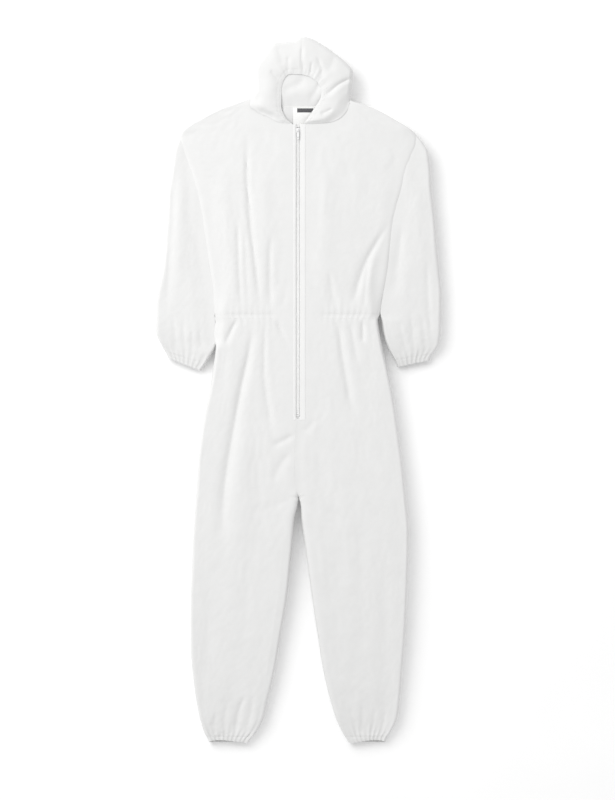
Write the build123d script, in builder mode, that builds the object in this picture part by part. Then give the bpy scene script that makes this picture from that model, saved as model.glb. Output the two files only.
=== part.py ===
"""Hooded protective coverall, laid flat on its back with the arms beside the body.

+X is the wearer's left, +Y runs from the ankles to the hood, +Z is up through the front.
The origin lies on the table under the middle of the suit. Sizes are in millimetres.

The cloth is a set of flattened tubes: one for the body, one for each sleeve and leg, one
for the hood. Every cross-section of a tube has edges of the same directions, so that the
walls are flat facets and whatever is sewn inside lies against them exactly.
"""

import os
from math import hypot

from build123d import *

os.makedirs("parts", exist_ok=True)

# Cloth
CLOTH = 2.0  # thickness of a panel, with the air between its layers
FAR = 1000.0  # longer than any cut needs to be
JOINT_GAP = 1.5  # between the cloth of two bodies that turn past each other

# Cross-section of a tube, from the side seam over the front to its flat and under the
# back to its flat: (inwards from the side, height), both as shares of the tube's height
SEAM_HEIGHT = 0.46
FRONT_PROFILE = ((0.0, SEAM_HEIGHT), (0.07, 0.68), (0.25, 0.87), (0.52, 0.97), (0.80, 1.0))
BACK_PROFILE = ((0.0, SEAM_HEIGHT), (0.10, 0.20), (0.34, 0.04), (0.58, 0.0))

# Body: (y, half width), crotch to neck
BODY_HEIGHT = 50.0
CROTCH_Y = -266.0
NECK_Y = 712.0
BODY_OUTLINE = (
    (CROTCH_Y, 262),
    (-145, 250),
    (-46, 232),
    (41, 214),
    (120, 202),
    (182, 198),
    (300, 211),
    (412, 226),
    (500, 232),
    (560, 262),
    (614, 294),
    (636, 291),
    (669, 246),
    (691, 204),
    (703, 174),
    (NECK_Y, 146),
)

# Sleeve, the wearer's left: a round cap turns about the shoulder
SHOULDER_X, SHOULDER_Y, SHOULDER_R = 277.0, 565.0, 46.0
# (y, centre x, half width, height), shoulder to wrist
SLEEVE_OUTLINE = (
    (SHOULDER_Y + SHOULDER_R + 1, SHOULDER_X, SHOULDER_R, 46),
    (SHOULDER_Y, SHOULDER_X, SHOULDER_R, 46),
    (500, 282, 45, 45),
    (412, 286.5, 52, 43),
    (300, 284, 65, 42),
    (182, 281, 73, 40),
    (130, 285, 68, 36),
    (100, 289, 59, 30),
    (72, 286, 43, 22),
)

# Leg, the wearer's left: a round cap turns about the hip
HIP_X, HIP_Y, HIP_R = 137.0, -300.0, 134.0
LEG_OUTLINE = (
    (HIP_Y + HIP_R + 1, HIP_X, HIP_R, BODY_HEIGHT),
    (HIP_Y, HIP_X, HIP_R, BODY_HEIGHT),
    (-343, 143, 132, 49),
    (-417, 145, 126, 48),
    (-517, 151, 118, 46),
    (-615, 156, 110, 43),
    (-690, 160, 100, 40),
    (-764, 169, 85, 36),
    (-818, 171, 73, 31),
    (-850, 170, 59, 25),
    (-870, 171, 49, 20),
)

# Hood: it turns about the front of the neck
NECK_GAP = 1.5
HOOD_OUTLINE = (
    (NECK_Y + NECK_GAP, 6, 114, BODY_HEIGHT),
    (756, 13, 119, 58),
    (791, 15, 118, 62),
    (823, 12, 92, 56),
    (850, 9, 62, 42),
    (866, 10, 36, 26),
    (870, 10, 24, 18),
)
HOOD_SEAM_X = 12.0
FACE_X, FACE_Y, FACE_HALF_WIDTH, FACE_HALF_HEIGHT = 9.0, 742.0, 45.0, 41.0

# Front opening and zip
ZIP_TOP_Y = 655.0
ZIP_BOTTOM_Y = -62.0
ZIP_SLOT = 18.0  # between the edges of the front panels
NECK_NOTCH = 80.0  # width of the open neck at the neck line
TAPE_THICK, TAPE_OUTER_X = 1.0, 14.0
ZIP_GAP = 1.8  # between the two coils, where the slider's post runs
COIL_OUTER_X = 3.2
COIL_END = 5.0  # from the ends of the tape to the ends of the coil
STOP_LENGTH, STOP_RISE, STOP_X = 3.0, 0.6, 3.4

# Slider and pull
SLIDER_Y = 643.0
SLIDER_LENGTH, SLIDER_WIDTH, SLIDER_TAIL = 12.0, 9.0, 8.2
SLIDER_PLATE = 1.2
SLIDER_CLEAR = 0.4
POST_WIDTH, POST_LENGTH = 1.1, 3.0
BRIDGE_WIDTH, BRIDGE_LENGTH, BRIDGE_RISE = 2.2, 7.0, 3.2
PULL_BORE_R, PULL_BAR_R = 0.65, 0.6
PULL_THICK, PULL_LENGTH, PULL_WIDTH = 1.2, 22.0, 6.4
PULL_EYE_WIDTH, PULL_EYE_LENGTH = 3.2, 5.0

# Elastics, label and binding
ELASTIC_THICK = 1.2
WAIST_Y, WAIST_ELASTIC = 188.0, 10.0
WAIST_OPEN = 58.0  # the elastic stops this far from the zip
CUFF_ELASTIC, CUFF_INSET = 8.0, 4.0
FACE_ELASTIC, FACE_EDGE = 7.0, 2.0
BINDING_WIDTH, BINDING_THICK = 8.0, 0.8
LABEL_X, LABEL_Y, LABEL_WIDTH, LABEL_LENGTH, LABEL_THICK = 14.0, 679.0, 52.0, 49.0, 0.6

# Worked out
SEAM_Z = SEAM_HEIGHT * BODY_HEIGHT
TAPE_TOP_Z = BODY_HEIGHT - CLOTH
TAPE_UNDER_Z = TAPE_TOP_Z - TAPE_THICK
BODY = tuple((y, 0, half, BODY_HEIGHT) for y, half in BODY_OUTLINE)


def inward(before, here, after):
    """How a corner of the section moves when both its edges move in by one."""
    normals = []
    for (x0, z0), (x1, z1) in ((before, here), (here, after)):
        length = hypot(x1 - x0, z1 - z0)
        normals.append(((z1 - z0) / length, (x0 - x1) / length))
    (ax, az), (bx, bz) = normals
    share = 1 + ax * bx + az * bz
    return (ax + bx) / share, (az + bz) / share


def half_section():
    """Corners of the wearer's left half, front flat to back flat, and their moves."""
    corners = [(-across, up) for across, up in reversed(FRONT_PROFILE)]
    corners += [(-across, up) for across, up in BACK_PROFILE[1:]]
    ends = [(-9, 1.0), *corners, (-9, 0.0)]
    moves = [inward(*ends[i : i + 3]) for i in range(len(corners))]
    return corners, moves


CORNERS, MOVES = half_section()
SEAM_CORNER = len(FRONT_PROFILE) - 1


def chain(x, half_width, height, inset, first, last):
    """Left side corners first to last of one section, moved in by inset."""
    points = []
    for (cx, cz), (mx, mz) in zip(CORNERS[first : last + 1], MOVES[first : last + 1]):
        points.append((x + half_width + cx * height + mx * inset, cz * height + mz * inset))
    return points


def whole_chain(station, inset, part):
    """Corners round one section: all of it, or only its front or its back."""
    _, x, half_width, height = station
    first, last = {
        "all": (0, len(CORNERS) - 1),
        "front": (0, SEAM_CORNER),
        "back": (SEAM_CORNER, len(CORNERS) - 1),
    }[part]
    left = chain(x, half_width, height, inset, first, last)
    right = [(2 * x - px, pz) for px, pz in left]
    if part == "front":
        return list(reversed(right)) + left
    return left + list(reversed(right))


def facets(rings):
    """Solid with flat walls between successive closed rings of corners."""
    faces = [Face(Wire.make_polygon(rings[0])), Face(Wire.make_polygon(rings[-1]))]
    for ring, after in zip(rings, rings[1:]):
        for i, corner in enumerate(ring):
            j = (i + 1) % len(ring)
            faces.append(Face(Wire.make_polygon((corner, ring[j], after[j], after[i]))))
    return Solid(Shell(faces))


def at(y, points):
    """Section corners as points in space."""
    return [(px, y, pz) for px, pz in points]


def tube_wall(outline, part, inset=0.0, thick=CLOTH):
    """Front or back wall of a tube, from inset inside its skin, thick deep."""
    rings = []
    for station in outline:
        outer = whole_chain(station, inset, part)
        inner = whole_chain(station, inset + thick, part)
        rings.append(at(station[0], outer + inner[::-1]))
    with BuildPart() as wall:
        add(facets(rings))
    return wall.part


def half_wall(part, inset=0.0, thick=CLOTH):
    """Left half of the body's front or back wall."""
    first, last = (0, SEAM_CORNER) if part == "front" else (SEAM_CORNER, len(CORNERS) - 1)
    rings = []
    for y, x, half_width, height in BODY:
        outer = chain(x, half_width, height, inset, first, last)
        inner = chain(x, half_width, height, inset + thick, first, last)
        if part == "front":
            outer.insert(0, (0, outer[0][1]))
            inner.insert(0, (0, inner[0][1]))
        else:
            outer.append((0, outer[-1][1]))
            inner.append((0, inner[-1][1]))
        rings.append(at(y, outer + inner[::-1]))
    with BuildPart() as wall:
        add(facets(rings))
    return wall.part


def envelope(outline, inset, end_inset):
    """Solid inside a tube, its skin moved in by inset and its last end by end_inset."""
    rings = []
    for station in outline:
        y = station[0] - (end_inset if station is outline[-1] else 0)
        rings.append(at(y, whole_chain(station, inset, "all")))
    with BuildPart() as inside:
        add(facets(rings))
    return inside.part


def slab(x_from, x_to, y_from, y_to, z_from=-FAR, z_to=FAR):
    """Box between six planes."""
    centre = ((x_from + x_to) / 2, (y_from + y_to) / 2, (z_from + z_to) / 2)
    with BuildPart() as box:
        with Locations(centre):
            Box(x_to - x_from, y_to - y_from, z_to - z_from)
    return box.part


def disc(x, y, radius):
    """Upright cylinder through everything, about the pivot at x, y."""
    with BuildPart() as round_cut:
        with Locations((x, y, 0)):
            Cylinder(radius, 2 * FAR)
    return round_cut.part


def write(part, label):
    """Names a finished piece and writes it."""
    part.label = label
    export_step(part, f"parts/{label}.step")


def write_pair(left_part, name):
    """Writes a piece of the wearer's left side and its mirror image on the right."""
    write(left_part, f"left_{name}")
    with BuildPart() as other:
        mirror(left_part, about=Plane.YZ)
    write(other.part, f"right_{name}")


# ---------------------------------------------------------------- body panels

cap_side = SHOULDER_X - SHOULDER_R - JOINT_GAP
cap_top = SHOULDER_Y + SHOULDER_R + JOINT_GAP
with BuildPart() as joint_clearance:
    add(disc(SHOULDER_X, SHOULDER_Y, SHOULDER_R + JOINT_GAP))
    add(slab(cap_side, FAR, WAIST_Y, SHOULDER_Y))
    add(slab(SHOULDER_X, FAR, SHOULDER_Y, cap_top))
    add(disc(HIP_X, HIP_Y, HIP_R + JOINT_GAP))
    add(slab(HIP_X, FAR, -FAR, HIP_Y + HIP_R / 2))

notch_half, slot_half = NECK_NOTCH / 2, ZIP_SLOT / 2
notch_over = 1.5  # share of the notch's length that its cutter runs to
with BuildPart() as neck_notch:
    with BuildSketch(Plane.XY.offset(SEAM_Z)):
        with BuildLine():
            open_x = slot_half + (notch_half - slot_half) * notch_over
            open_y = ZIP_TOP_Y + (NECK_Y - ZIP_TOP_Y) * notch_over
            Polyline(
                (-slot_half, ZIP_TOP_Y),
                (slot_half, ZIP_TOP_Y),
                (open_x, open_y),
                (-open_x, open_y),
                close=True,
            )
        make_face()
    extrude(amount=FAR)

with BuildPart() as front_panel:
    add(half_wall("front"))
    add(joint_clearance.part, mode=Mode.SUBTRACT)
    add(slab(-1, slot_half, ZIP_BOTTOM_Y, ZIP_TOP_Y), mode=Mode.SUBTRACT)
    add(neck_notch.part, mode=Mode.SUBTRACT)
write_pair(front_panel.part, "front_panel")

with BuildPart() as back_panel:
    add(half_wall("back"))
    add(joint_clearance.part, mode=Mode.SUBTRACT)
write_pair(back_panel.part, "back_panel")

# ---------------------------------------------------------------- zip

tape_ends = (ZIP_BOTTOM_Y - 4, ZIP_TOP_Y)
tape = slab(ZIP_GAP / 2, TAPE_OUTER_X, *tape_ends, TAPE_UNDER_Z, TAPE_TOP_Z)
write_pair(tape, "zip_tape")

coil_ends = (ZIP_BOTTOM_Y + COIL_END, ZIP_TOP_Y - COIL_END)
coil = slab(ZIP_GAP / 2, COIL_OUTER_X, *coil_ends, TAPE_TOP_Z, BODY_HEIGHT)
write_pair(coil, "zip_coil")

stop_z = (TAPE_TOP_Z, BODY_HEIGHT + STOP_RISE)
with BuildPart() as top_stops:
    stop_y = coil_ends[1] + 0.5
    add(slab(ZIP_GAP / 2, STOP_X, stop_y, stop_y + STOP_LENGTH, *stop_z))
    fillet(top_stops.faces().sort_by(Axis.Z)[-1].edges(), 0.4)
    mirror(about=Plane.YZ)
write(top_stops.part, "zip_top_stops")

with BuildPart() as bottom_stop:
    stop_y = coil_ends[0] - 0.5 - STOP_LENGTH
    add(slab(-STOP_X, STOP_X, stop_y, stop_y + STOP_LENGTH, *stop_z))
    fillet(bottom_stop.faces().sort_by(Axis.Z)[-1].edges(), 0.4)
write(bottom_stop.part, "zip_bottom_stop")

plate_z = BODY_HEIGHT + SLIDER_CLEAR
bridge_z = plate_z + SLIDER_PLATE
pull_z = bridge_z + BRIDGE_RISE / 2
under_z = TAPE_UNDER_Z - SLIDER_CLEAR - SLIDER_PLATE
nose, tail = SLIDER_Y + SLIDER_LENGTH / 2, SLIDER_Y - SLIDER_LENGTH / 2


def slider_plate(z):
    """One of the slider's two plates, shield shaped and narrower at the tail."""
    half_nose, half_tail = SLIDER_WIDTH / 2, SLIDER_TAIL / 2
    with BuildPart() as plate:
        with BuildSketch(Plane.XY.offset(z)):
            with BuildLine():
                Polyline(
                    (-half_nose, nose),
                    (half_nose, nose),
                    (half_nose, SLIDER_Y),
                    (half_tail, tail),
                    (-half_tail, tail),
                    (-half_nose, SLIDER_Y),
                    close=True,
                )
            make_face()
        extrude(amount=SLIDER_PLATE)
        fillet(plate.edges().filter_by(Axis.Z), 0.8)
    return plate.part


with BuildPart() as slider:
    add(slider_plate(plate_z))
    fillet(slider.faces().sort_by(Axis.Z)[-1].edges(), 0.4)
    add(slider_plate(under_z))
    # flanges down both sides of the coils, clear of the tape
    flange_z = TAPE_TOP_Z + SLIDER_CLEAR
    flange_x = COIL_OUTER_X + SLIDER_CLEAR
    for x_from, x_to in ((flange_x, SLIDER_TAIL / 2), (-SLIDER_TAIL / 2, -flange_x)):
        add(slab(x_from, x_to, tail + 1, nose - 1, flange_z, plate_z + 0.1))
    # post that parts the coils and joins the plates
    post_x = POST_WIDTH / 2
    add(slab(-post_x, post_x, nose - 1 - POST_LENGTH, nose - 1, under_z + 0.1, plate_z + 0.1))
    # bridge that holds the pull
    with BuildSketch(Plane.YZ):
        with Locations((SLIDER_Y, bridge_z + BRIDGE_RISE / 2)):
            Rectangle(BRIDGE_LENGTH, BRIDGE_RISE)
        with Locations((SLIDER_Y, pull_z)):
            Circle(PULL_BORE_R, mode=Mode.SUBTRACT)
    extrude(amount=BRIDGE_WIDTH / 2, both=True)
    fillet(slider.edges().filter_by(Axis.X).group_by(Axis.Z)[-1], 1.2)
write(slider.part, "zip_slider")

with BuildPart() as pull_tab:
    eye_outer = PULL_EYE_WIDTH + 2 * PULL_THICK
    with BuildSketch(Plane.XY.offset(pull_z - PULL_THICK / 2)):
        with BuildLine():
            Polyline(
                (-eye_outer / 2, SLIDER_Y),
                (eye_outer / 2, SLIDER_Y),
                (eye_outer / 2, SLIDER_Y - PULL_EYE_LENGTH),
                (PULL_WIDTH / 2, SLIDER_Y - PULL_EYE_LENGTH - 4),
                (PULL_WIDTH / 2, SLIDER_Y - PULL_LENGTH),
                (-PULL_WIDTH / 2, SLIDER_Y - PULL_LENGTH),
                (-PULL_WIDTH / 2, SLIDER_Y - PULL_EYE_LENGTH - 4),
                (-eye_outer / 2, SLIDER_Y - PULL_EYE_LENGTH),
                close=True,
            )
        make_face()
        with Locations((0, SLIDER_Y - PULL_EYE_LENGTH / 2)):
            Rectangle(PULL_EYE_WIDTH, PULL_EYE_LENGTH, mode=Mode.SUBTRACT)
        with Locations((0, SLIDER_Y - PULL_LENGTH + 4)):
            Circle(1.5, mode=Mode.SUBTRACT)
    extrude(amount=PULL_THICK)
    fillet(pull_tab.edges().filter_by(Axis.Z).group_by(Axis.Y)[0], 1.5)
    with BuildSketch(Plane.YZ):
        with Locations((SLIDER_Y, pull_z)):
            Circle(PULL_BAR_R)
    extrude(amount=eye_outer / 2, both=True)
write(pull_tab.part, "zip_pull_tab")

# ---------------------------------------------------------------- sewn into the body


def body_ring(y_from, y_to, thick):
    """Strip round the inside of the body's cloth."""
    with BuildPart() as ring:
        for part in ("front", "back"):
            add(tube_wall(BODY, part, CLOTH, thick))
        add(slab(-FAR, FAR, y_from, y_to), mode=Mode.INTERSECT)
    return ring.part


waist_ends = (WAIST_Y - WAIST_ELASTIC / 2, WAIST_Y + WAIST_ELASTIC / 2)
with BuildPart() as waist_elastic:
    add(body_ring(*waist_ends, ELASTIC_THICK))
    add(slab(-WAIST_OPEN, WAIST_OPEN, *waist_ends, SEAM_Z), mode=Mode.SUBTRACT)
write(waist_elastic.part, "waist_elastic")

with BuildPart() as binding:
    add(body_ring(NECK_Y - BINDING_WIDTH, NECK_Y, BINDING_THICK))
    add(neck_notch.part, mode=Mode.SUBTRACT)
write(binding.part, "neck_binding")

with BuildPart() as label:
    with Locations((LABEL_X, LABEL_Y, CLOTH + LABEL_THICK / 2)):
        Box(LABEL_WIDTH, LABEL_LENGTH, LABEL_THICK)
write(label.part, "neck_label")

# ---------------------------------------------------------------- sleeves and legs

LIMBS = (
    ("sleeve", SLEEVE_OUTLINE, SHOULDER_X, SHOULDER_Y, SHOULDER_R, "wrist"),
    ("leg", LEG_OUTLINE, HIP_X, HIP_Y, HIP_R, "ankle"),
)
for limb_name, outline, pivot_x, pivot_y, radius, hem_name in LIMBS:
    with BuildPart() as reach:  # the tube below the pivot, only the round cap above it
        add(slab(-FAR, FAR, -FAR, pivot_y))
        add(disc(pivot_x, pivot_y, radius))
    for side_name in ("front", "back"):
        with BuildPart() as half:
            add(tube_wall(outline, side_name))
            add(reach.part, mode=Mode.INTERSECT)
        write_pair(half.part, f"{limb_name}_{side_name}")
    hem_y = outline[-1][0] + CUFF_INSET
    with BuildPart() as elastic:
        for part in ("front", "back"):
            add(tube_wall(outline[-2:], part, CLOTH, ELASTIC_THICK))
        add(slab(-FAR, FAR, hem_y, hem_y + CUFF_ELASTIC), mode=Mode.INTERSECT)
    write_pair(elastic.part, f"{hem_name}_elastic")

# ---------------------------------------------------------------- hood


def face_opening(widen):
    """Opening for the face and, below it, the open neck: through the front only."""
    with BuildPart() as opening:
        with BuildSketch(Plane.XY.offset(SEAM_Z + 8)):
            with Locations((FACE_X, FACE_Y)):
                Ellipse(FACE_HALF_WIDTH + widen, FACE_HALF_HEIGHT + widen)
            with Locations((FACE_X, FACE_Y - FAR / 2)):
                Rectangle(2 * (FACE_HALF_WIDTH + widen) - 10, FAR)
        extrude(amount=FAR)
    return opening.part


def hood_layer(inset, thick):
    """One layer of the hood's wall, closed at the top and open at the neck."""
    with BuildPart() as wall:
        add(envelope(HOOD_OUTLINE, inset, inset))
        add(envelope(HOOD_OUTLINE, inset + thick, inset + thick), mode=Mode.SUBTRACT)
    return wall.part


with BuildPart() as hood:
    add(hood_layer(0, CLOTH))
    add(face_opening(0), mode=Mode.SUBTRACT)
for side_name, kept in (("left", Keep.TOP), ("right", Keep.BOTTOM)):
    with BuildPart() as half_hood:
        add(hood.part)
        split(bisect_by=Plane.YZ.offset(HOOD_SEAM_X), keep=kept)
    write(half_hood.part, f"hood_{side_name}")

with BuildPart() as face_elastic:
    add(hood_layer(CLOTH, ELASTIC_THICK))
    add(face_opening(FACE_EDGE + FACE_ELASTIC), mode=Mode.INTERSECT)
    add(face_opening(FACE_EDGE), mode=Mode.SUBTRACT)
write(face_elastic.part, "hood_face_elastic")
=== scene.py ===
"""White hooded coverall lying on its back: the looks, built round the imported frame.

Lengths in the tables are millimetres in the row frame: +X the wearer's left, +Y towards
the hood, +Z up out of the table. MM turns them into Blender's metres.
"""

from math import atan2, cos, pi, sin

import bmesh
import bpy
import numpy as np
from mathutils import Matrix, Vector, noise


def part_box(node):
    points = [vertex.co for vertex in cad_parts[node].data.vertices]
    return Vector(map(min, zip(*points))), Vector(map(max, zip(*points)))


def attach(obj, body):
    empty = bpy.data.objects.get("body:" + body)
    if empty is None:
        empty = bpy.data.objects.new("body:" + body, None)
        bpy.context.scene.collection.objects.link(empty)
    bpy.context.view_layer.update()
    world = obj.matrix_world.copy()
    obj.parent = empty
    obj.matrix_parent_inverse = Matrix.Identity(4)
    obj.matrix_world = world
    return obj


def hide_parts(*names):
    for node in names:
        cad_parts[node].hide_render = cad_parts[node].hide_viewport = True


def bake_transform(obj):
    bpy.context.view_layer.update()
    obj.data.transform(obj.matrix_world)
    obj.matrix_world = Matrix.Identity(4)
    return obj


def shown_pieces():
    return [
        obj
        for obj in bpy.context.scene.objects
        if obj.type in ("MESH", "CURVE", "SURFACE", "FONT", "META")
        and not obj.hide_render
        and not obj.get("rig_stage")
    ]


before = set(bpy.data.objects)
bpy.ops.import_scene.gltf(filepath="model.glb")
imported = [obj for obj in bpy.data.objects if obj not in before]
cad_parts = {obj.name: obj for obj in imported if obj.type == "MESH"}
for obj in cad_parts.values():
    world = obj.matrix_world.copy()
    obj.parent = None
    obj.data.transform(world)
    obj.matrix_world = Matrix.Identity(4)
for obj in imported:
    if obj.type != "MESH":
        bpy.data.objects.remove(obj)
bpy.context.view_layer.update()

MM = 0.001
FLOOR_GAP = 1.2  # the back lies this far above the table, inside its wrinkles
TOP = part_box("left_front_panel")[1].z / MM  # height of the front along the zip
ZIP_TOP, ZIP_BOTTOM = 655.0, -62.0
SLOT_HALF = 9.0

# ------------------------------------------------------------------ helpers


def smooth(x, low, high):
    """0 below low, 1 above high, smooth between; low may be the larger."""
    t = np.clip((np.asarray(x, float) - low) / (high - low), 0.0, 1.0)
    return t * t * (3 - 2 * t)


def curve_through(table, at):
    """Values of a table [(position, value, ...), ...] at positions, by smooth Hermite runs."""
    rows = np.array(sorted(table), float)
    keys, values = rows[:, 0], rows[:, 1:]
    at = np.atleast_1d(np.asarray(at, float))
    step = np.diff(keys)[:, None]
    rise = np.diff(values, axis=0) / step
    slope = np.zeros_like(values)
    slope[1:-1] = (rise[:-1] * step[1:] + rise[1:] * step[:-1]) / (step[1:] + step[:-1])
    flat = rise[:-1] * rise[1:] <= 0
    slope[1:-1][flat] = 0
    slope[0], slope[-1] = rise[0], rise[-1]
    i = np.clip(np.searchsorted(keys, at) - 1, 0, len(keys) - 2)
    h = (keys[i + 1] - keys[i])[:, None]
    t = np.clip(((at - keys[i])[:, None]) / h, 0, 1)
    a, b = values[i], values[i + 1]
    out = (
        a * (2 * t**3 - 3 * t**2 + 1)
        + slope[i] * h * (t**3 - 2 * t**2 + t)
        + b * (-2 * t**3 + 3 * t**2)
        + slope[i + 1] * h * (t**3 - t**2)
    )
    return out[:, 0] if out.shape[1] == 1 else out


def round_edge(d, width, power=2.3):
    """Height share at distance d in from an edge that rounds over within width."""
    t = np.clip(1 - np.asarray(d, float) / width, 0, 1)
    return (1 - t**power) ** (1 / power)


def even_points(points, count):
    """The same line with count points at equal distances along it."""
    length = np.concatenate(([0], np.cumsum(np.linalg.norm(np.diff(points, axis=0), axis=1))))
    want = np.linspace(0, length[-1], count)
    return np.stack([np.interp(want, length, points[:, k]) for k in range(points.shape[1])], 1)


def rough(x, y, scale, seed=0.0):
    """Smooth noise from -1 to 1 over a plane, features about scale across."""
    x, y = np.broadcast_arrays(x, y)
    flat_x, flat_y = np.ravel(x) / scale, np.ravel(y) / scale
    out = [noise.noise(Vector((a, b, seed))) for a, b in zip(flat_x, flat_y)]
    return np.array(out).reshape(np.shape(x))


def mesh_object(name, verts, faces, smooth_shading=True):
    """New object from vertices in metres."""
    mesh = bpy.data.meshes.new(name)
    mesh.from_pydata([tuple(map(float, v)) for v in verts], [], faces)
    mesh.validate()
    obj = bpy.data.objects.new(name, mesh)
    bpy.context.scene.collection.objects.link(obj)
    if smooth_shading:
        mesh.polygons.foreach_set("use_smooth", [True] * len(mesh.polygons))
    return obj


def grid_faces(rows, columns, first=0, closed=False):
    """Quads over a grid of vertices numbered row by row."""
    faces = []
    for r in range(rows - 1):
        for c in range(columns if closed else columns - 1):
            d = (c + 1) % columns
            a = first + r * columns
            faces.append((a + c, a + d, a + columns + d, a + columns + c))
    return faces


# ------------------------------------------------------------------ folds

# Creases of the front: points (x, y), depth, half width, ridge height. The ridge stands
# beside the crease, on the left of its run; a negative depth is a hollow.
FOLDS = (
    (((-124, 640), (-126, 566), (-117, 417), (-98, 253), (-94, 196)), -5.0, 5.5, 0.6),
    (((-149, 430), (-146, 320), (-141, 200)), -3.5, 6, 1.6),
    (((-132, 400), (-128, 300), (-122, 200)), -2.0, 6, 1.0),
    (((-66, 400), (-70, 300), (-68, 196)), -3.5, 6, 1.6),
    (((-18, 310), (-26, 260), (-38, 200)), -3.5, 6, 1.6),
    (((-84, 560), (-80, 400), (-78, 240)), 2.4, 22, 0),
    (((60, 600), (66, 440), (60, 230)), 2.2, 24, 0),
    (((-186, 560), (-176, 400), (-168, 230)), 2.4, 26, 0),
    (((236, 430), (168, 319), (132, 206)), -6.0, 8, 2.6),
    (((262, 566), (222, 430), (186, 320), (174, 210)), 2.4, 20, 0),
    (((76, 300), (84, 250), (92, 200)), -2.2, 6, 1.2),
    (((176, 330), (166, 260), (164, 200)), -2.8, 6, 1.4),
    (((-109, 180), (-118, 112), (-141, 0), (-162, -115), (-176, -200), (-190, -375)), -7.0, 10, 2.6),
    (((-150, 180), (-168, 142), (-184, 112)), -4.5, 6, 1.6),
    (((-82, 180), (-83, 60), (-62, -120)), -3.0, 6, 1.5),
    (((-56, 178), (-34, 136), (-12, 96)), -4.2, 6, 1.8),
    (((97, 180), (114, 64), (136, -60)), -5.0, 8, 2.2),
    (((158, 178), (160, 150), (160, 118)), -4.2, 5, 1.6),
    (((190, 178), (206, 110), (214, 52)), -3.2, 6, 1.2),
    (((128, 178), (138, 120), (150, 60)), -2.4, 7, 1.2),
    (((44, -66), (26, -88), (10, -102)), -3.2, 6, 1.4),
    (((-8, -104), (-36, -122), (-66, -134)), -3.2, 7, 1.4),
    (((-20, -150), (-48, -190), (-58, -226)), -2.6, 9, 1.2),
    (((-10, -262), (-70, -286), (-130, -296)), -0.8, 10, 0.4),
    (((20, -262), (80, -300), (140, -316)), -0.8, 12, 0.4),
    (((36, -120), (60, -190), (74, -260)), -1.2, 14, 0.4),
    (((-128, -60), (-136, -220), (-140, -420)), 3.0, 24, 0),
    (((84, -420), (100, -450), (112, -478)), -1.2, 10, 0.4),
    (((150, -300), (156, -480), (160, -700)), -1.8, 24, 0.4),
    (((-120, -400), (-132, -600), (-146, -740)), -1.4, 22, 0.4),
    (((-214, -420), (-222, -600), (-220, -740)), -1.4, 20, 0.4),
    (((214, -380), (214, -600), (206, -760)), -1.4, 20, 0.4),
    (((-132, -748), (-146, -790), (-156, -846)), -3.4, 6, 2.0),
    (((-112, -752), (-118, -800), (-132, -846)), -2.0, 6, 1.6),
    (((-176, -776), (-182, -812), (-186, -848)), -1.4, 6, 1.4),
    (((-204, -790), (-206, -820), (-202, -850)), -1.4, 6, 1.2),
    (((158, -770), (160, -810), (164, -850)), -1.6, 6, 1.4),
    (((190, -776), (188, -812), (184, -850)), -1.6, 6, 1.4),
    (((216, -790), (212, -820), (204, -850)), -1.6, 6, 1.2),
    (((128, -780), (138, -816), (146, -850)), -1.4, 6, 1.2),
)
# creases of the wearer's left sleeve, then of the right one
SLEEVE_FOLDS = {
    1: (
        (((318, 330), (322, 220), (330, 108)), -2.0, 6, 1.4),
        (((306, 190), (312, 140), (316, 96)), -1.6, 6, 1.4),
        (((276, 200), (284, 140), (290, 92)), -1.4, 6, 1.2),
        (((250, 170), (260, 130), (268, 92)), -1.4, 5, 1.2),
        (((292, 520), (296, 400), (300, 260)), 2.4, 22, 0),
        (((256, 420), (248, 320), (236, 230)), -2.0, 10, 1.0),
    ),
    -1: (
        (((-306, 560), (-316, 430), (-322, 300), (-322, 170)), -3.0, 12, 1.6),
        (((-290, 540), (-292, 400), (-286, 260)), 2.6, 20, 0),
        (((-308, 190), (-304, 140), (-300, 92)), -1.6, 6, 1.4),
        (((-284, 180), (-282, 130), (-278, 80)), -1.6, 6, 1.4),
        (((-262, 160), (-262, 120), (-262, 76)), -1.4, 5, 1.2),
        (((-246, 150), (-240, 130), (-236, 108)), -1.4, 5, 1.0),
    ),
}
HOOD_FOLDS = (
    (((136, 773), (100, 754), (77, 736), (62, 728)), -5.0, 5, 2.0),
    (((86, 696), (70, 688), (54, 682)), -3.2, 5, 1.6),
    (((-24, 826), (-24, 806), (-22, 784)), -2.4, 5, 1.0),
    (((11, 852), (10, 820), (14, 784)), -2.6, 4.5, 1.0),
    (((34, 812), (32, 794), (28, 776)), -3.2, 4, 1.0),
    (((46, 824), (56, 800), (60, 772)), -2.6, 4.5, 1.0),
    (((-68, 790), (-56, 776), (-44, 766)), -2.4, 6, 1.2),
    (((-50, 850), (-44, 826), (-36, 800)), -1.6, 9, 0.8),
    (((90, 830), (84, 806), (74, 784)), -1.6, 9, 0.8),
    (((-98, 690), (-76, 684), (-52, 676)), -1.5, 8, 0.8),
)


def curve_points(points, count=90):
    """Smooth line through a few points."""
    t = np.concatenate(([0], np.cumsum(np.linalg.norm(np.diff(points, axis=0), axis=1))))
    table = [(ti, *p) for ti, p in zip(t, points)]
    return curve_through(table, np.linspace(0, t[-1], count))


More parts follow.
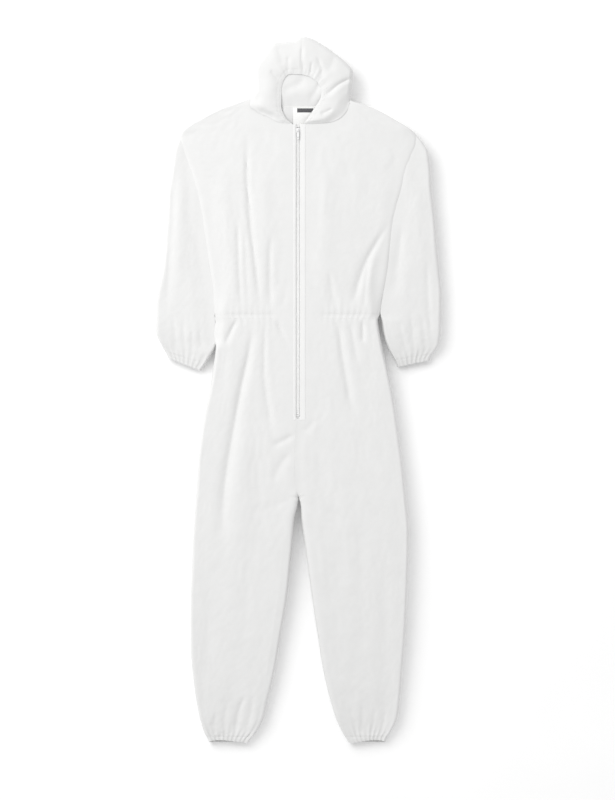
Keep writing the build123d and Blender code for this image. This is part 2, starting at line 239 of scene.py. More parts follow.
def fold_height(x, y, folds):
    """Sum of the creases and their ridges at points x, y."""
    total = np.zeros(np.shape(x))
    for line, depth, half_width, ridge in folds:
        run = even_points(curve_points(np.array(line, float)), 70)
        reach = 4 * half_width + 4 * abs(ridge)
        low, high = run.min(0) - reach, run.max(0) + reach
        close = (x > low[0]) & (x < high[0]) & (y > low[1]) & (y < high[1])
        if not close.any():
            continue
        px, py = x[close][:, None], y[close][:, None]
        head, step = run[:-1], np.diff(run, axis=0)
        rx, ry = px - head[:, 0], py - head[:, 1]
        along = np.clip((rx * step[:, 0] + ry * step[:, 1]) / (step**2).sum(1), 0, 1)
        dx, dy = rx - along * step[:, 0], ry - along * step[:, 1]
        far = np.hypot(dx, dy)
        best = far.argmin(1)
        row = np.arange(len(best))
        d = far[row, best]
        d = d * np.sign(step[best, 0] * ry[row, best] - step[best, 1] * rx[row, best])
        where = (best + along[row, best]) / len(step)
        ends = smooth(where, -0.02, 0.25) * (1 - smooth(where, 0.75, 1.02))
        width = half_width * (0.7 + 0.6 * where)
        shape = depth * np.exp(-np.abs(d / width) ** (1.5 if depth < 0 else 2))
        shape = shape + 0.35 * ridge * np.exp(-(((d - 2.0 * width) / (1.6 * width)) ** 2))
        total[close] += shape * ends
    return total


# ------------------------------------------------------------------ body and legs

# (y, outer edge x of the wearer's left, of the right, height)
BODY_EDGE = (
    (724, 118, 121, 46),
    (712, 148, 148, 49),
    (703, 176, 176, 50),
    (690, 206, 207, 50),
    (669, 243, 247, 50),
    (645, 281, 284, 50),
    (630, 293, 293, 50),
    (614, 294, 292, 50),
    (585, 280, 278, 50),
    (560, 265, 264, 50),
    (500, 240, 240, 50),
    (412, 229, 229, 50),
    (300, 213, 212, 50),
    (215, 199, 198, 50),
    (188, 196, 195, 50),
    (160, 199, 199, 50),
    (120, 206, 202, 50),
    (41, 224, 211, 50),
    (-46, 240, 229, 50),
    (-145, 254, 244, 50),
    (-266, 267, 253, 50),
    (-343, 274, 259, 49),
    (-417, 273, 262, 48),
    (-517, 269, 266, 46),
    (-615, 264, 266, 43),
    (-690, 258, 262, 40),
    (-764, 252, 252, 36),
    (-818, 243, 241, 31),
    (-850, 226, 229, 25),
    (-862, 219, 223, 22),
    (-870, 217, 221, 20),
)
# (y, inner edge x of the left leg, of the right)
INNER_EDGE = (
    (720, 0, 0),
    (-240, 0, 0),
    (-266, 1.5, 1.5),
    (-300, 6, 7),
    (-343, 12, 11),
    (-417, 22, 18),
    (-491, 32, 25),
    (-615, 50, 45),
    (-690, 62, 58),
    (-764, 80, 75),
    (-818, 97, 89),
    (-850, 113, 108),
    (-862, 121, 119),
    (-870, 125, 123),
)
# centre front seam below the zip: (y, x)
CENTRE_SEAM = ((-62, 0), (-90, -2), (-155, -6), (-215, -6), (-250, 0), (-266, 2), (-300, 3))
NECK_END, HEM_END = 724, -870
ROWS, COLUMNS = 200, 77  # per half: neck to ankle, centre front to centre back
SIDE_COLUMN = 40
# how high the sides stand where body and sleeve touch: (y, z)
TOUCH_HEIGHT = ((650, 46), (600, 45.5), (500, 44.5), (412, 43.5), (300, 42.5), (205, 41), (120, 39))
TOUCH_END = {1: (168, 190), -1: (106, 134)}  # where body and sleeve part, further down
BODY_PROUD = {1: 1.3, -1: 1.0}  # how far the body stands above each sleeve there
# how far the front hangs over each sleeve: (y, wearer's left, right)
LIP = (
    (650, 0, 0),
    (612, 0, 0),
    (560, 9, 7),
    (500, 17, 12),
    (412, 6, 6),
    (300, 8, 5),
    (215, 7, 10),
    (188, 6, 13),
    (174, 0, 8),
    (140, 0, 7),
    (122, 0, 4),
    (112, 0, 0),
)
LIP_THICK = 0.9
LIP_DROP = 2.1  # the edge of the front comes down onto the sleeve
LAP = 2.0  # how far the left front laps over the right one below the zip
EDGE_ROUND = 6.5  # how far in from its sides the front rounds over


def opening_edge(y):
    """Distance of a front panel's edge from the centre line."""
    y = np.asarray(y, float)
    notch = np.minimum(SLOT_HALF + (y - ZIP_TOP) * 1.3, 60)
    slot = SLOT_HALF * smooth(y, ZIP_BOTTOM - 6, ZIP_BOTTOM)
    return np.where(y > ZIP_TOP, notch, slot)


def closer_to_end(points, count, power=1.7):
    """The line with count points that come closer together towards its end."""
    length = np.concatenate(([0], np.cumsum(np.linalg.norm(np.diff(points, axis=0), axis=1))))
    want = length[-1] * (1 - (1 - np.linspace(0, 1, count)) ** power)
    return np.stack([np.interp(want, length, points[:, k]) for k in range(points.shape[1])], 1)


def neck_rise(x, y):
    """How far the back of the neck is bunched up under the face opening."""
    across = 1 - smooth(np.abs(np.asarray(x, float) - 10), 48, 96)
    up = NECK_RISE + SIDE_RISE * smooth(-np.asarray(x, float), 14, 30)
    top = NECK_TOP + 2 * smooth(-np.asarray(x, float), 14, 30)
    up = up + (top - up) * smooth(y, 658, 694) - 6 * smooth(y, 705, 716)
    return up * across * smooth(y, 622, 654)


NECK_RISE, NECK_TOP, CROWN_RISE = 41.5, 48.0, 54.8
SIDE_RISE = 4.5  # the right of the neck is bunched up higher
NECK_SEAM = 703.5  # where the hood's back meets the neck


def body_half(side):
    """Grid (rows, columns, 3) of one half: side 1 is the wearer's left."""
    ys = np.concatenate(
        (np.linspace(NECK_END, -842, ROWS - 10, endpoint=False), np.linspace(-842, HEM_END, 10))
    )
    edges = curve_through(BODY_EDGE, ys)
    outer = edges[:, 0] if side > 0 else edges[:, 1]
    height = edges[:, 2]
    inner = curve_through(INNER_EDGE, ys)[:, 0 if side > 0 else 1]
    seam = np.where(ys < ZIP_BOTTOM, curve_through(CENTRE_SEAM, ys), 0.0) * smooth(ys, -320, -280)
    leg = smooth(ys, -250, -267)
    touch = smooth(ys, *TOUCH_END[side]) * (1 - smooth(ys, 628, 650))
    touch_z = curve_through(TOUCH_HEIGHT, ys)
    lips = curve_through(LIP, ys)[:, 0 if side > 0 else 1]
    lapped = (1 - smooth(ys, -74, -64)) * smooth(ys, -266, -258)
    grid = np.zeros((ROWS, COLUMNS, 3))
    for r, y in enumerate(ys):
        x_in, x_out, top = inner[r], outer[r], height[r]
        lap = LAP * side * lapped[r]
        start = float(opening_edge(y)) + side * seam[r] - LAP * lapped[r] if y > -266 else x_in + side * seam[r]
        seam_z = 0.44 * top
        over = min(EDGE_ROUND, 0.5 * (x_out - x_in))
        t = (1 - np.cos(np.linspace(0, pi, 301))) / 2
        x_lip = x_out + lips[r]
        x = start + (x_lip - start) * t
        d_out, d_in = x_lip - x, x - start
        free_z = seam_z + (top - seam_z) * round_edge(d_out, over, 2.2)
        side_z = touch_z[r] + BODY_PROUD[side]
        rise = 26 + 70 * float(smooth(y, 190, 330))
        held_z = side_z - 1.2 * (1 - smooth(d_out, 0, 14)) + (top - side_z) * smooth(d_out, 0, rise)
        held_z = held_z - LIP_DROP * (1 - smooth(d_out, 0, 7))
        z = free_z * (1 - touch[r]) + held_z * touch[r]
        z = z - (z - seam_z) * leg[r] * (1 - round_edge(d_in, over * 0.9, 2.2))
        z = z + lap * 0.3 * (1 - smooth(x - start, 2, 12))
        front = np.stack([x, z], 1)
        if lips[r] > 1:
            under_lip = z[-1] - LIP_THICK
            front = np.concatenate((front, [(x_out + 0.4, under_lip), (x_out, under_lip - 3)]))
        front = np.concatenate((front, [(x_out, seam_z)]))
        back_in = x_in + (start - x_in) * leg[r]
        x_back = back_in + (x_out - back_in) * t[::-1]
        under = round_edge(x_out - x_back, 46.0, 2.6)
        under = under * (1 - leg[r] * (1 - round_edge(x_back - back_in, 40.0, 2.6)))
        back = np.stack([x_back, FLOOR_GAP + (seam_z - FLOOR_GAP) * (1 - under)], 1)
        back[:, 1] += neck_rise(side * x_back, y)
        a = closer_to_end(front, SIDE_COLUMN + 1)
        b = closer_to_end(back[::-1], COLUMNS - SIDE_COLUMN, 1.5)[::-1]
        line = np.concatenate((a, b[1:]))
        grid[r, :, 0], grid[r, :, 1], grid[r, :, 2] = line[:, 0] * side, y, line[:, 1]
    return grid


def upsample(grid, factor):
    """The same grid with factor times as many rows and columns, by smooth cubic runs."""
    for axis in (0, 1):
        g = np.moveaxis(grid, axis, 0)
        n = len(g)
        at = np.linspace(0, n - 1, (n - 1) * factor + 1)
        i = np.clip(np.floor(at).astype(int), 0, n - 2)
        t = (at - i).reshape(-1, *([1] * (g.ndim - 1)))
        p0, p1, p2, p3 = g[np.clip(i - 1, 0, n - 1)], g[i], g[i + 1], g[np.clip(i + 2, 0, n - 1)]
        g = 0.5 * (
            2 * p1
            + (p2 - p0) * t
            + (2 * p0 - 5 * p1 + 4 * p2 - p3) * t**2
            + (3 * p1 - p0 - 3 * p2 + p3) * t**3
        )
        grid = np.moveaxis(g, 0, axis)
    return grid


def grid_normals(grid):
    """Unit normals of a grid, by its rows and columns."""
    along, across = np.gradient(grid, axis=0), np.gradient(grid, axis=1)
    n = np.cross(across, along)
    length = np.linalg.norm(n, axis=2, keepdims=True)
    return n / np.maximum(length, 1e-9)


def outward(grid, normals):
    """Sign that makes normals point out of a tube lying along Y."""
    middle = grid[:, :, [0, 2]].mean(axis=1, keepdims=True)
    away = grid[:, :, [0, 2]] - middle
    return 1.0 if (away * normals[:, :, [0, 2]]).sum() > 0 else -1.0


SHARP = 0.95  # edges of cloth that turn by more than this are shaded as sharp
CLOTH = 0.7  # thickness that the cloth is drawn with


def shell(name, grid, normals, thick=CLOTH):
    """Piece of cloth over a grid: outer face, inner face and the edges between them."""
    rows, columns, _ = grid.shape
    count = rows * columns
    inner = grid - normals * thick
    verts = np.concatenate((grid.reshape(-1, 3), inner.reshape(-1, 3))) * MM
    faces = grid_faces(rows, columns)
    faces += [tuple(i + count for i in reversed(f)) for f in grid_faces(rows, columns)]
    rim = [c for c in range(columns)]
    rim += [r * columns + columns - 1 for r in range(1, rows)]
    rim += [(rows - 1) * columns + c for c in range(columns - 2, -1, -1)]
    rim += [r * columns for r in range(rows - 2, 0, -1)]
    for i, a in enumerate(rim):
        b = rim[(i + 1) % len(rim)]
        faces.append((b, a, a + count, b + count))
    obj = mesh_object(name, verts, faces)
    bm = bmesh.new()
    bm.from_mesh(obj.data)
    bmesh.ops.recalc_face_normals(bm, faces=bm.faces)
    bm.to_mesh(obj.data)
    bm.free()
    obj.data.set_sharp_from_angle(angle=SHARP)
    return obj


# ------------------------------------------------------------------ cloth settling


def settle(grid, pinned, loose=0.03, grow=0.03, frames=16, bending=0.6, seed=0.0):
    """Lets a grid of cloth find its own small folds: it is cut a little too large, springs
    hold it near its shape, and pinned (rows, columns) from 0 to 1 says where it is sewn."""
    rows, columns, _ = grid.shape
    obj = mesh_object("settling", grid.reshape(-1, 3) * MM, grid_faces(rows, columns))
    hold = obj.vertex_groups.new(name="hold")
    size = obj.vertex_groups.new(name="size")
    weight = np.clip(np.maximum(pinned, loose), 0, 1).reshape(-1)
    x, y = grid[:, :, 0], grid[:, :, 1]
    extra = (0.5 + 0.5 * rough(x, y, 90.0, seed + 3.0)).reshape(-1)
    for i, (w, e) in enumerate(zip(weight, extra)):
        hold.add([i], float(w), "REPLACE")
        size.add([i], float(np.clip(e, 0, 1)), "REPLACE")
    cloth = obj.modifiers.new("cloth", "CLOTH").settings
    cloth.quality = 5
    cloth.mass = 0.15
    cloth.tension_stiffness = cloth.compression_stiffness = 25
    cloth.shear_stiffness = 8
    cloth.bending_stiffness = bending
    cloth.tension_damping = cloth.compression_damping = 12
    cloth.shear_damping = 8
    cloth.bending_damping = 1.0
    cloth.air_damping = 3
    cloth.vertex_group_mass = "hold"
    cloth.pin_stiffness = 1.0
    cloth.vertex_group_shrink = "size"
    cloth.shrink_min, cloth.shrink_max = 0.0, -grow
    cloth.effector_weights.gravity = 0
    scene = bpy.context.scene
    for frame_number in range(1, frames + 1):
        scene.frame_set(frame_number)
    held = obj.evaluated_get(bpy.context.evaluated_depsgraph_get())
    co = np.zeros(len(obj.data.vertices) * 3)
    held.data.vertices.foreach_get("co", co)
    scene.frame_set(1)
    bpy.data.objects.remove(obj, do_unlink=True)
    moved = co.reshape(rows, columns, 3) / MM
    step = moved - grid
    length = np.linalg.norm(step, axis=2, keepdims=True)
    return grid + step * np.minimum(1, 12.0 / np.maximum(length, 1e-9))


def gathers(along, across, pitch, seed):
    """Uneven gathers from -1 to 1 across a line: sharp valleys, round crests."""
    phase = across / pitch * 2 * pi
    phase = phase + 1.6 * rough(across, along * 0.25, pitch * 3.1, seed)
    wave = np.sin(phase) + 0.45 * np.sin(phase * 1.9 + 1.3) * rough(across, along, pitch * 5, seed + 5)
    return 1 - 2 * np.abs(np.sin((wave * pi / 2 - pi / 2) / 2)) ** 0.8


def run_length(grid):
    """Distance across each row of a grid from its first column."""
    steps = np.linalg.norm(np.diff(grid, axis=1), axis=2)
    return np.cumsum(np.concatenate((np.zeros((len(grid), 1)), steps), 1), 1)


def groove(distance, depth, half_width):
    """Height of a seam or stitched line at a distance from it."""
    return -depth * np.exp(-((distance / half_width) ** 2))


def flat_size(grid):
    """Width and length in metres of the cloth that a grid is made of, and its area."""
    width = run_length(grid)[:, -1]
    length = np.linalg.norm(np.diff(grid, axis=0), axis=2).sum(0)
    across, along = np.gradient(grid, axis=1), np.gradient(grid, axis=0)
    area = np.linalg.norm(np.cross(across, along), axis=2)[:-1, :-1].sum()
    return round(width.max() * MM, 3), round(length.max() * MM, 3), float(area) * MM * MM


def cloth_sheet(grid, spare=1.0):
    """Works out the width and length that a piece of cloth was cut to; nothing is done with them."""
    width, length, area = flat_size(grid)
    width, length = round(width * spare, 3), round(length, 3)


def band(name, grid, normals, rows, columns, depth, thick):
    """Strip of elastic or binding sewn inside the cloth along some of its rows."""
    part, n = grid[rows, columns], normals[rows, columns]
    obj = shell(name, part - n * depth, n, thick)
    return obj


THREAD = 0.22  # radius of a stitch


def stitches(name, line, normals, pitch=3.2, length=2.3, radius=THREAD):
    """Row of separate stitches along a line of points on the cloth."""
    total = np.concatenate(([0], np.cumsum(np.linalg.norm(np.diff(line, axis=0), axis=1))))
    at = np.arange(pitch, total[-1] - pitch, pitch)
    def pick(values, where):
        return np.stack([np.interp(where, total, values[:, k]) for k in range(3)], 1)
    head, tail = pick(line, at - length / 2), pick(line, at + length / 2)
    up = pick(normals, at)
    up /= np.linalg.norm(up, axis=1, keepdims=True)
    run = tail - head
    side = np.cross(run, up)
    side /= np.maximum(np.linalg.norm(side, axis=1, keepdims=True), 1e-9)
    shape = ((0.0, 0.35, -0.2), (0.18, 1.0, 0.75), (0.82, 1.0, 0.75), (1.0, 0.35, -0.2))
    corners, verts, faces = 6, [], []
    for share, size, lift in shape:
        for k in range(corners):
            turn = 2 * pi * k / corners
            verts.append(
                head + run * share
                + side * (radius * size * cos(turn))
                + up * (radius * (size * sin(turn) + lift))
            )
    verts = np.stack(verts, 1)
    rings = len(shape)
    for i in range(len(at)):
        first = i * rings * corners
        faces += grid_faces(rings, corners, first, closed=True)
        faces.append(tuple(first + k for k in reversed(range(corners))))
        faces.append(tuple(first + (rings - 1) * corners + k for k in range(corners)))
    obj = mesh_object(name, verts.reshape(-1, 3) * MM, faces)
    return obj


# ------------------------------------------------------------------ pieces of the body

WAIST = 188.0
WAIST_OPEN = 58.0
INSEAM_IN = 12.0
HEM_LIFT = 7.0  # how much higher the middle of a leg's hem lies


def build_body(side):
    """Front and back of one half, shoulder to ankle."""
    word = "left" if side > 0 else "right"
    which = 0 if side > 0 else 1
    grid = body_half(side)
    over_hem = np.clip(np.arange(COLUMNS) / SIDE_COLUMN, 0, 1)[None, :]
    grid[:, :, 1] += HEM_LIFT * np.sin(pi * over_hem) ** 2 * smooth(grid[:, :, 1], -835, -870)
    pattern = grid.copy()
    x, y = grid[:, :, 0], grid[:, :, 1].copy()
    front = np.arange(COLUMNS)[None, :] <= SIDE_COLUMN
    edge = curve_through(BODY_EDGE, y[:, 0])[:, which][:, None]
    inner = curve_through(INNER_EDGE, y[:, 0])[:, which][:, None]
    from_side = edge - np.abs(x)
    zip_run = smooth(y, ZIP_BOTTOM - 60, ZIP_BOTTOM) * (1 - smooth(y, 700, 712))
    free = 1 - zip_run * (1 - smooth(np.abs(x), 16, 56))
    free = free * smooth(from_side, 0, 40)
    leg = smooth(y, -230, -320)
    free = free * (1 - leg * (1 - smooth(np.abs(x) - inner, 0, 34)))
    under_hood = smooth(y, 630, 655) * (1 - smooth(np.abs(x), 118, 150))
    free = free * (1 - under_hood)
    soft = 2.2 * rough(x, y * 0.6, 88, 1.0) + 1.0 * rough(x, y * 0.5, 36, 2.0)
    grid[:, :, 2] += np.where(front, soft * free, 0)
    pinned = zip_run * front * (1 - smooth(np.abs(x), 22, 50))
    pinned = np.maximum(pinned, under_hood)
    touching = smooth(y, *TOUCH_END[side]) * (1 - smooth(y, 640, 660)) * (1 - smooth(from_side, 4, 40))
    pinned = np.maximum(pinned, touching)
    pinned[:, 0] = pinned[:, -1] = 1
    pinned = np.maximum(pinned, 0.75 * (~front) * (from_side > 50))
    pinned[0] = pinned[-1] = 1
    grid = settle(grid, pinned, seed=side * 1.0)
    grid[:, :, 2] = np.maximum(grid[:, :, 2], FLOOR_GAP)
    grid = upsample(grid, 2)
    side_col = SIDE_COLUMN * 2
    normals = grid_normals(grid)
    normals *= outward(grid, normals)
    x, y = grid[:, :, 0], grid[:, :, 1]
    front = np.arange(grid.shape[1])[None, :] <= side_col
    free = upsample(free[:, :, None], 2)[:, :, 0]
    push = np.where(front, fold_height(x, y, FOLDS) * np.clip(free, 0, 1), 0)
    # gathers at the waist, away from the zip
    waist_row = np.abs(y[:, 0] - WAIST).argmin()
    across = run_length(grid)
    along_waist = across[waist_row][None, :] + 0 * y
    waist = smooth(np.abs(x), 48, 70) * (1 - 0.75 * smooth(np.abs(x), 150, 182))
    wave = gathers(y, along_waist, 15.0, 11.0 + side)
    wave *= 0.45 + 0.75 * np.abs(rough(along_waist, 0 * y, 31, 15.0 + side))
    reach = 0.40 * np.exp(-(((y - WAIST) / 34.0) ** 2)) + 0.55 * np.exp(-(((y - WAIST) / 13.0) ** 2))
    line = np.exp(-(((y - WAIST) / 5.0) ** 2))
    rows_of_stitches = groove(y - WAIST - 6, 0.5, 1.8) + groove(y - WAIST + 6, 0.5, 1.8)
    gathered = 1.4 * wave * reach * (1 - 0.4 * line) - 1.2 * line + rows_of_stitches
    push += waist * gathered * np.where(front, 1, 0.35)
    # gathers at the ankle, over the elastic in its hem
    hem = smooth(y, -808, -858)
    share = across / across[:, -1:] * 330
    wave = gathers(y * 0.5, share, 15.0, 21.0 + side)
    wave *= 0.4 + 0.8 * np.abs(rough(share, y * 0.3, 34, 25.0 + side))
    push += hem * 1.5 * wave + groove(y + 855, 0.6, 2.0)
    # seams: side, centre, inside leg
    apart = 1 - smooth(y, *TOUCH_END[side]) * (1 - smooth(y, 640, 655))
    push += groove(across - across[:, side_col : side_col + 1], 1.0, 2.6) * apart
    end = np.minimum(across, across[:, -1:] - across)
    seam_on = 1 - smooth(y, ZIP_BOTTOM - 14, ZIP_BOTTOM - 2)
    push += groove(end - 3, 0.5, 1.8) * np.where(front, seam_on, 0.6)
    if side < 0:
        inner = curve_through(INNER_EDGE, y[:, 0])[:, 1][:, None]
        by_seam = np.abs(x) - inner - INSEAM_IN
        push += front * smooth(y, -340, -400) * groove(by_seam, 1.8, 2.4)
    grid = grid + normals * push[:, :, None]
    grid[:, :, 2] = np.maximum(grid[:, :, 2], FLOOR_GAP * 0.8)
    normals = grid_normals(grid)
    normals *= outward(grid, normals)
    for part, cols in (("front", slice(0, side_col + 1)), ("back", slice(side_col, None))):
        obj = shell(f"body_{part}_{word}", grid[:, cols], normals[:, cols])
        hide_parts(f"{word}_{part}_panel", f"{word}_leg_{part}")
        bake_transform(obj)
        cut = slice(0, SIDE_COLUMN + 1) if part == "front" else slice(SIDE_COLUMN, None)
        cloth_sheet(pattern[:, cut])
    # elastics and binding, sewn inside
    rows = slice(waist_row - 1, waist_row + 2)
    first = int(np.argmax(np.abs(x[waist_row]) > WAIST_OPEN))
    obj = band(f"elastic_waist_{word}", grid, normals, rows, slice(first, None), 1.2, 0.9)
    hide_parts("waist_elastic")
    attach(obj, "torso")
    obj = band(f"binding_neck_{word}", grid, normals, slice(4, 7), slice(0, None), 0.75, 0.25)
    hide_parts("neck_binding")
    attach(obj, "torso")
    hem_rows = np.flatnonzero((y[:, 0] < -853) & (y[:, 0] > -868))
    rows = slice(hem_rows[0], hem_rows[-1] + 1)
    obj = band(f"elastic_ankle_{word}", grid, normals, rows, slice(0, None), 1.1, 0.9)
    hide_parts(f"{word}_ankle_elastic")
    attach(obj, f"{word}_leg")
    # stitching
    for row_name, at_y, from_col, body in (
        ("waist_upper", WAIST + 6, first, "torso"),
        ("waist_lower", WAIST - 6, first, "torso"),
        ("ankle", -855, 0, f"{word}_leg"),
    ):
        row = np.abs(y[:, 0] - at_y).argmin()
        obj = stitches(f"stitch_{row_name}_{word}", grid[row, from_col:], normals[row, from_col:])
        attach(obj, body)


# ------------------------------------------------------------------ sleeves

# (y, inner edge x, outer edge x, height) of each sleeve
SLEEVE_EDGE = {
    1: (
        (640, 262, 288, 44),
        (618, 248, 306, 46),
        (600, 240, 318, 46),
        (565, 248, 325, 46),
        (500, 241, 330, 45),
        (412, 230, 339, 44),
        (300, 214, 349, 42),
        (250, 207, 354, 41),
        (205, 201, 355, 40),
        (182, 205, 354, 40),
        (127, 217, 352, 36),
        (100, 231, 347, 30),
        (84, 240, 334, 25),
        (76, 244, 328, 22),
        (70, 245, 327, 20),
    ),
    -1: (
        (640, 262, 288, 44),
        (618, 248, 298, 46),
        (600, 240, 304, 46),
        (565, 248, 309, 46),
        (500, 241, 319, 45),
        (412, 230, 325, 44),
        (350, 221, 329, 43),
        (300, 213, 336, 42),
        (214, 201, 351, 41),
        (182, 202, 352, 40),
        (127, 205, 350, 36),
        (103, 220, 341, 31),
        (84, 232, 329, 25),
        (76, 238, 324, 22),
        (70, 240, 322, 20),
    ),
}
SLEEVE_TOP, SLEEVE_END = 640, 70
SLEEVE_ROWS, SLEEVE_COLUMNS = 76, 65
SLEEVE_SIDE = 34
TUCK_DROP = {1: 1.7, -1: 2.1}  # how much lower a sleeve lies where the body is on top of it
SLEEVE_ROUND = 6.5
HEM_SLANT = {1: 0.2, -1: 0.4}  # the outside of the hem lies higher up the arm


def build_sleeve(side):
    """Front and back of one sleeve."""
    word = "left" if side > 0 else "right"
    ys = np.concatenate(
        (np.linspace(SLEEVE_TOP, 94, SLEEVE_ROWS - 8, endpoint=False), np.linspace(94, SLEEVE_END, 8))
    )
    edges = curve_through(SLEEVE_EDGE[side], ys)
    grid = np.zeros((SLEEVE_ROWS, SLEEVE_COLUMNS, 3))
    t = (1 - np.cos(np.linspace(0, pi, 201))) / 2
    for r, y in enumerate(ys):
        x_in, x_out, top = edges[r]
        seam_z = 0.42 * top
        over = 0.5 * (x_out - x_in)
        x = x_in + (x_out - x_in) * t
        touch = float(smooth(y, *TOUCH_END[side]))
        share = round_edge(x_out - x, min(over, SLEEVE_ROUND), 2.2)
        front_z = seam_z + (top - seam_z) * share
        held_z = TUCK_DROP[side] * (1 - smooth(x - x_in, 16, 60)) + 3 * (1 - round_edge(x - x_in, 3.0))
        inside = round_edge(x - x_in, min(over, SLEEVE_ROUND), 2.2)
        front_z = touch * (front_z - held_z) + (1 - touch) * (seam_z + (front_z - seam_z) * inside)
        front = np.stack([x, front_z], 1)
        front = np.concatenate(([(x_in, seam_z)], front))
        back_x = x[::-1]
        under = round_edge(x_out - back_x, 34, 2.6) * round_edge(back_x - x_in, 34, 2.6)
        back = np.stack([back_x, FLOOR_GAP + (seam_z - FLOOR_GAP) * (1 - under)], 1)
        a = closer_to_end(front[::-1], SLEEVE_SIDE + 1, 1.5)[::-1]
        b = even_points(back, SLEEVE_COLUMNS - SLEEVE_SIDE)
        line = np.concatenate((a, b[1:]))
        grid[r, :, 0], grid[r, :, 1], grid[r, :, 2] = line[:, 0], y, line[:, 1]
    slant = smooth(grid[:, :, 1], 180, 70)
    grid[:, :, 1] += slant * (HEM_SLANT[side] * (grid[:, :, 0] - 288))
    pattern = grid.copy()
    x, y = grid[:, :, 0], grid[:, :, 1]
    front = np.arange(SLEEVE_COLUMNS)[None, :] <= SLEEVE_SIDE
    out = np.minimum(edges[:, 1][:, None] - x, x - edges[:, 0][:, None])
    free = smooth(out, 0, 26)
    soft = 1.8 * rough(x * side, y * 0.6, 70, 31.0) + 0.9 * rough(x * side, y * 0.5, 32, 32.0)
    grid[:, :, 2] += np.where(front, soft * free, 0)
    pinned = np.zeros((SLEEVE_ROWS, SLEEVE_COLUMNS))
    inner_side = 1 - smooth(x - edges[:, 0][:, None], 4, 36)
    pinned = np.maximum(pinned, inner_side * smooth(y, *TOUCH_END[side]))
    pinned = np.maximum(pinned, smooth(y, 560, 600))
    pinned[0] = pinned[-1] = 1
    pinned[:, 0] = pinned[:, -1] = 0.7
    pinned = np.maximum(pinned, 0.7 * (~front) * (out > 30))
    grid = settle(grid, pinned, seed=7.0 + side)
    grid[:, :, 2] = np.maximum(grid[:, :, 2], FLOOR_GAP)
    grid = upsample(grid, 2)
    side_col = SLEEVE_SIDE * 2
    normals = grid_normals(grid)
    normals *= outward(grid, normals)
    x, y = grid[:, :, 0], grid[:, :, 1]
    front = np.arange(grid.shape[1])[None, :] <= side_col
    free = np.clip(upsample(free[:, :, None], 2)[:, :, 0], 0, 1)
    push = np.where(front, fold_height(x * side, y, SLEEVE_FOLDS[side]) * free, 0)
    across = run_length(grid)
    share = across / across[:, -1:] * 260
    hem_at = SLEEVE_END + (y[-1] - SLEEVE_END)[None, :]
    from_hem = y - hem_at
    wave = gathers(y * 0.5, share, 14.0, 41.0 + side)
    wave *= 0.4 + 0.8 * np.abs(rough(share, y * 0.3, 30, 45.0 + side))
    push += (1 - smooth(from_hem, 12, 50)) * 1.4 * wave + groove(from_hem - 15, 0.7, 2.0)
    push += groove(across - across[:, side_col : side_col + 1], 0.8, 2.4)
    end = np.minimum(across, across[:, -1:] - across)
    push += groove(end, 0.8, 2.4) * (1 - smooth(y, *TOUCH_END[side]))
    grid = grid + normals * push[:, :, None]
    grid[:, :, 2] = np.maximum(grid[:, :, 2], FLOOR_GAP * 0.8)
    for g in (grid, normals, pattern):
        g[:, :, 0] *= side
    normals = grid_normals(grid)
    normals *= outward(grid, normals)
    for part, cols in (("front", slice(0, side_col + 1)), ("back", slice(side_col, None))):
        obj = shell(f"sleeve_{part}_{word}", grid[:, cols], normals[:, cols])
        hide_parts(f"{word}_sleeve_{part}")
        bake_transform(obj)
        cut = slice(0, SLEEVE_SIDE + 1) if part == "front" else slice(SLEEVE_SIDE, None)
        cloth_sheet(pattern[:, cut])
    rows = slice(len(grid) - 7, len(grid) - 2)
    obj = band(f"elastic_wrist_{word}", grid, normals, rows, slice(0, None), 1.1, 0.9)
    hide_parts(f"{word}_wrist_elastic")
    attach(obj, f"{word}_sleeve")
    row = int(np.abs(from_hem[:, side_col] - 15).argmin())
    obj = stitches(f"stitch_wrist_{word}", grid[row], normals[row])
    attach(obj, f"{word}_sleeve")


# ------------------------------------------------------------------ hood

# round the face opening, clockwise from the zip: (share, x, y, z)
OPENING_CURVE = (
    (0.00, -18, 663, 53.6),
    (0.05, -26, 668, 54.5),
    (0.12, -36, 684, 56),
    (0.20, -41, 705, 58),
    (0.30, -41, 740, 60),
    (0.37, -36, 764, 60.5),
    (0.43, -24, 779, 61),
    (0.50, 3, 780, 61),
    (0.55, 24, 776, 61),
    (0.62, 47, 761, 60.5),
    (0.69, 58, 740, 60),
    (0.77, 55, 721, 59),
    (0.86, 42, 700, 57),
    (0.93, 28, 679, 55),
    (1.00, 15, 661, 53.6),
)
HOOD_EDGE = (
    (0.00, -22, 661, 50.8),
    (0.05, -47, 663, 50.8),
    (0.11, -73, 676, 50.8),
    (0.16, -99, 688, 50.8),
    (0.205, -119, 707, 50),
    (0.24, -113, 729, 38),
    (0.29, -107, 747, 30),
    (0.34, -107, 794, 26),
    (0.385, -85, 833, 24),
    (0.42, -65, 859, 22),
    (0.455, -38, 863, 22),
    (0.48, -10, 868, 21),
    (0.505, 12, 877, 20),
    (0.53, 32, 873, 20),
    (0.57, 62, 856, 22),
    (0.61, 92, 835, 24),
    (0.66, 124, 808, 26),
    (0.70, 136, 788, 28),
    (0.735, 135, 768, 31),
    (0.79, 131, 736, 36),
    (0.84, 127, 712, 46),
    (0.88, 119, 690, 50.8),
    (0.92, 101, 672, 50.8),
    (0.955, 78, 663, 50.8),
    (1.00, 19, 659, 50.8),
)
HOOD_COLUMNS, HOOD_ROWS, HOOD_BACK_ROWS = 241, 37, 30
HOOD_SEAM = 121
HOOD_BACK = (52, 200)  # columns whose cloth goes on round the back
HOOD_BULGE = 0.045
RIM_ROLL = 1.2
CASING = 10.0


